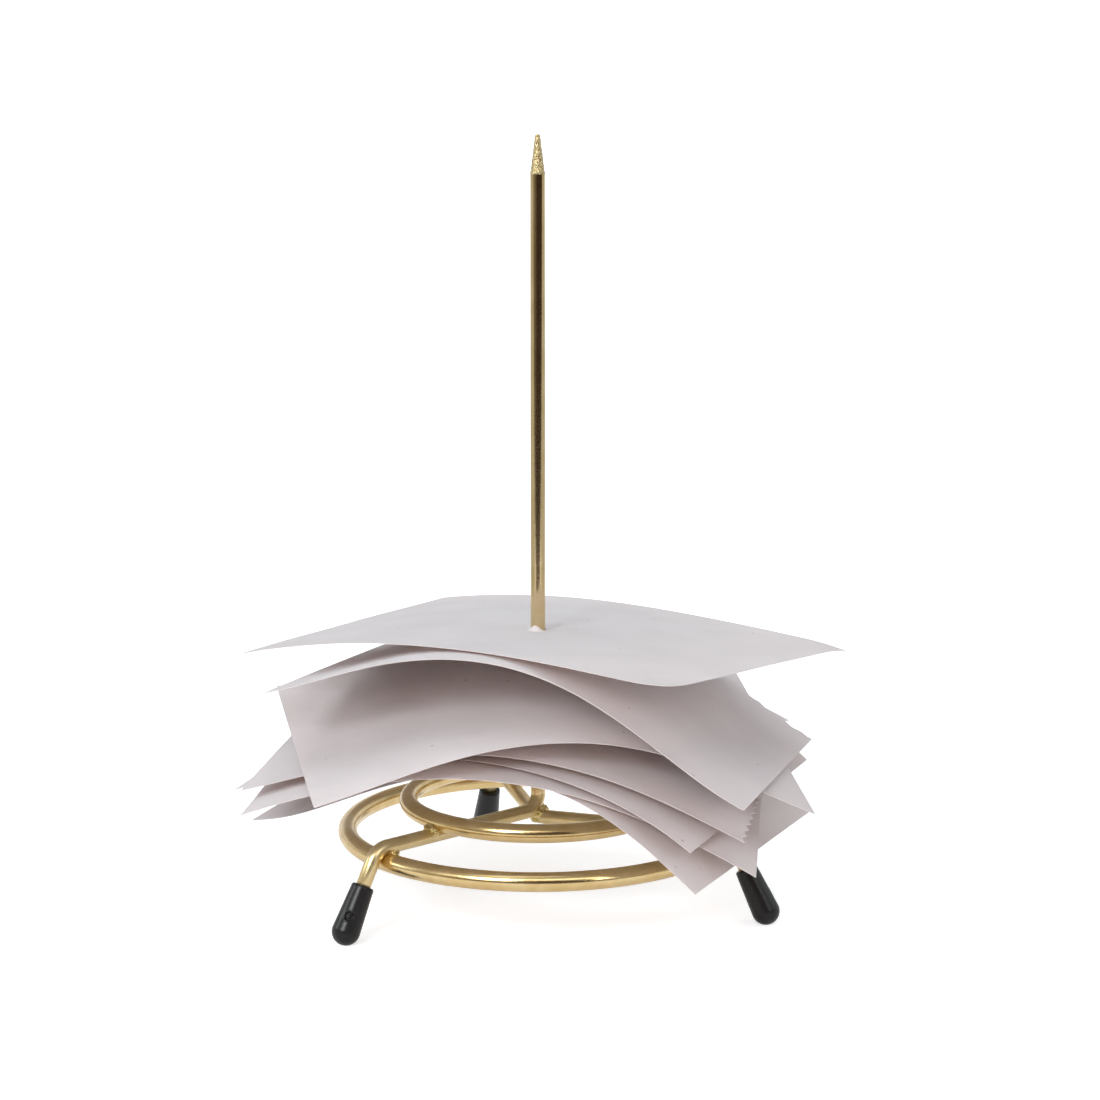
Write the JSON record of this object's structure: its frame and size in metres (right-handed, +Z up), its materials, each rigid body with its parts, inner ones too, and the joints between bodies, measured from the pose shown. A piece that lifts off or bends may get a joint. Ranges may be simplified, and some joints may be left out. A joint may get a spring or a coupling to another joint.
{
  "type": "bill spike",
  "caption": "Upright pointed wire spike on a splayed-leg base of concentric welded rings with rubber feet, holding a loose stack of pierced paper slips.",
  "frame": {"origin": "the point of the table under the spike's axis", "axes": "+Z up along the spike; -Y to the front, as pictured"},
  "size_m": [0.1278, 0.1201, 0.158],
  "materials": {
    "brass_wire": "polished",
    "weld_metal": "satin",
    "black_rubber": "matte",
    "paper": "matte"
  },
  "bodies": {
    "stand": {"spike_leg": "brass_wire", "twin_leg": "brass_wire", "inner_ring": "brass_wire", "outer_ring": "brass_wire", "hub_weld": "weld_metal", "inner_ring_welds": "weld_metal", "outer_ring_welds": "weld_metal", "left_foot": "black_rubber", "right_foot": "black_rubber", "back_foot": "black_rubber"},
    "slip_1": {"slip_1": "paper"},
    "slip_2": {"slip_2": "paper"},
    "slip_3": {"slip_3": "paper"},
    "slip_4": {"slip_4": "paper"},
    "slip_5": {"slip_5": "paper"},
    "slip_6": {"slip_6": "paper"},
    "slip_7": {"slip_7": "paper"}
  },
  "joints": [
    {"name": "slip_1_lift", "type": "slide", "parent": "stand", "child": "slip_1", "axis": [0, 0, 1], "range_m": [0, 0.123]},
    {"name": "slip_2_lift", "type": "slide", "parent": "slip_1", "child": "slip_2", "axis": [0, 0, 1], "range_m": [0, 0.122]},
    {"name": "slip_3_lift", "type": "slide", "parent": "slip_2", "child": "slip_3", "axis": [0, 0, 1], "range_m": [0, 0.121]},
    {"name": "slip_4_lift", "type": "slide", "parent": "slip_3", "child": "slip_4", "axis": [0, 0, 1], "range_m": [0, 0.118]},
    {"name": "slip_5_lift", "type": "slide", "parent": "slip_4", "child": "slip_5", "axis": [0, 0, 1], "range_m": [0, 0.112]},
    {"name": "slip_6_lift", "type": "slide", "parent": "slip_5", "child": "slip_6", "axis": [0, 0, 1], "range_m": [0, 0.104]},
    {"name": "slip_7_lift", "type": "slide", "parent": "slip_6", "child": "slip_7", "axis": [0, 0, 1], "range_m": [0, 0.103]}
  ]
}
